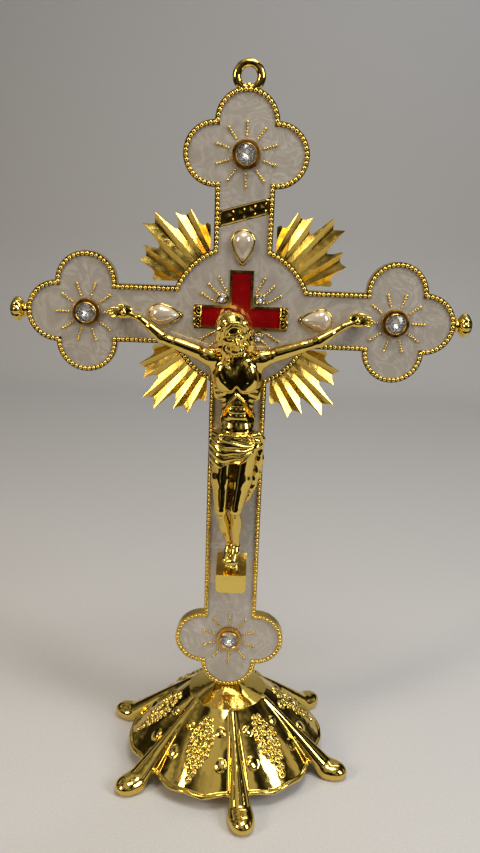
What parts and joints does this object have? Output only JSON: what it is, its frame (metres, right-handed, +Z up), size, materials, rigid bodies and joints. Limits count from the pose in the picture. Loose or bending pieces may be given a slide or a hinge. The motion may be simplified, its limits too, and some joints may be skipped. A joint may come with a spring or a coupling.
{
  "type": "altar cross",
  "caption": "Standing altar cross in gold-coloured cast metal with cream and red enamel, pearls, crystals, ray fans and a figure, on a ribbed skirt base.",
  "frame": {"origin": "on the table, under the middle of the base's bounding box, which is the axis of the base screw", "axes": "+Z up along the cross, +X to the viewer's right, the front of the cross faces -Y"},
  "size_m": [0.1304, 0.082, 0.2106],
  "materials": {
    "gold_plate": "bright polished gold-coloured plating",
    "antique_gold": "darkened gold in the recessed field, bright on the raised ornament",
    "cream_enamel": "pearlescent cream enamel, glossy",
    "red_enamel": "deep red translucent enamel, glossy",
    "crystal": "clear foil-backed cut stone",
    "pearl": "cream imitation pearl, satin lustre",
    "steel": "plain zinc-plated screw steel"
  },
  "bodies": {
    "root": {"base_shell": "gold_plate", "base_screw": "steel", "base_washer": "steel", "cross_frame": "gold_plate", "cream_enamel": "cream_enamel", "red_enamel": "red_enamel", "sunburst_plate": "gold_plate", "hanging_ring": "gold_plate", "finial_left": "gold_plate", "finial_right": "gold_plate", "titulus_plaque": "antique_gold", "setting_top": "gold_plate", "setting_left": "gold_plate", "setting_right": "gold_plate", "setting_bottom": "gold_plate", "crystal_top": "crystal", "crystal_left": "crystal", "crystal_right": "crystal", "crystal_bottom": "crystal", "pearl_top": "pearl", "pearl_left": "pearl", "pearl_right": "pearl", "pearl_cup_top": "gold_plate", "pearl_cup_left": "gold_plate", "pearl_cup_right": "gold_plate", "small_settings": "gold_plate", "small_crystals": "crystal", "corpus": "gold_plate", "footrest": "gold_plate", "hand_nails": "gold_plate", "foot_nail": "gold_plate", "corpus_rivets": "gold_plate"}
  },
  "joints": []
}
